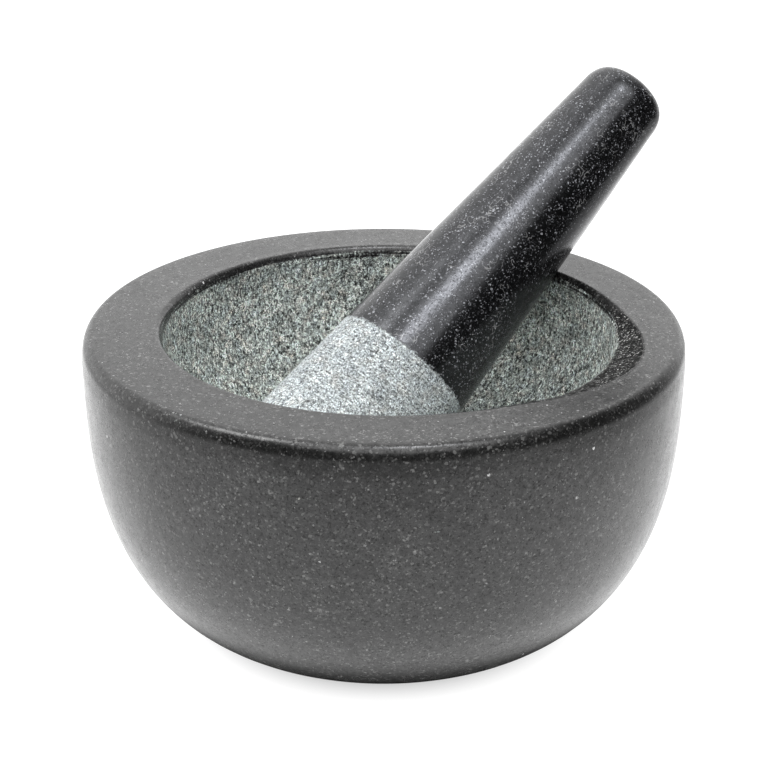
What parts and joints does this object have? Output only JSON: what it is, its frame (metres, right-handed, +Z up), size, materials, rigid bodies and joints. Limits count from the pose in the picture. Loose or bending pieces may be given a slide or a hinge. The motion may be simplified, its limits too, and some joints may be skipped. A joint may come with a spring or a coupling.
{
  "type": "mortar and pestle",
  "caption": "Heavy turned stone mortar with a flat polished rim and a rough round-bottomed hollow, with a tapered stone pestle leaning across the bowl, for grinding spices.",
  "frame": {"origin": "centre of the mortar's flat base, on the surface it stands on", "axes": "+Z up along the mortar's turning axis, -Y towards the front, +X to the right; the pestle's handle leans towards +X +Y"},
  "size_m": [0.1512, 0.1512, 0.1294],
  "materials": {
    "polished_granite": "polished outside, rough ground hollow",
    "honed_granite": "polished handle, rough ground working end"
  },
  "bodies": {
    "mortar": {"mortar": "polished_granite"},
    "pestle": {"pestle": "honed_granite"}
  },
  "joints": [
    {"name": "pestle_lift", "type": "slide", "parent": "mortar", "child": "pestle", "axis": [0, 0, 1], "range_m": [0, 0.1]}
  ]
}
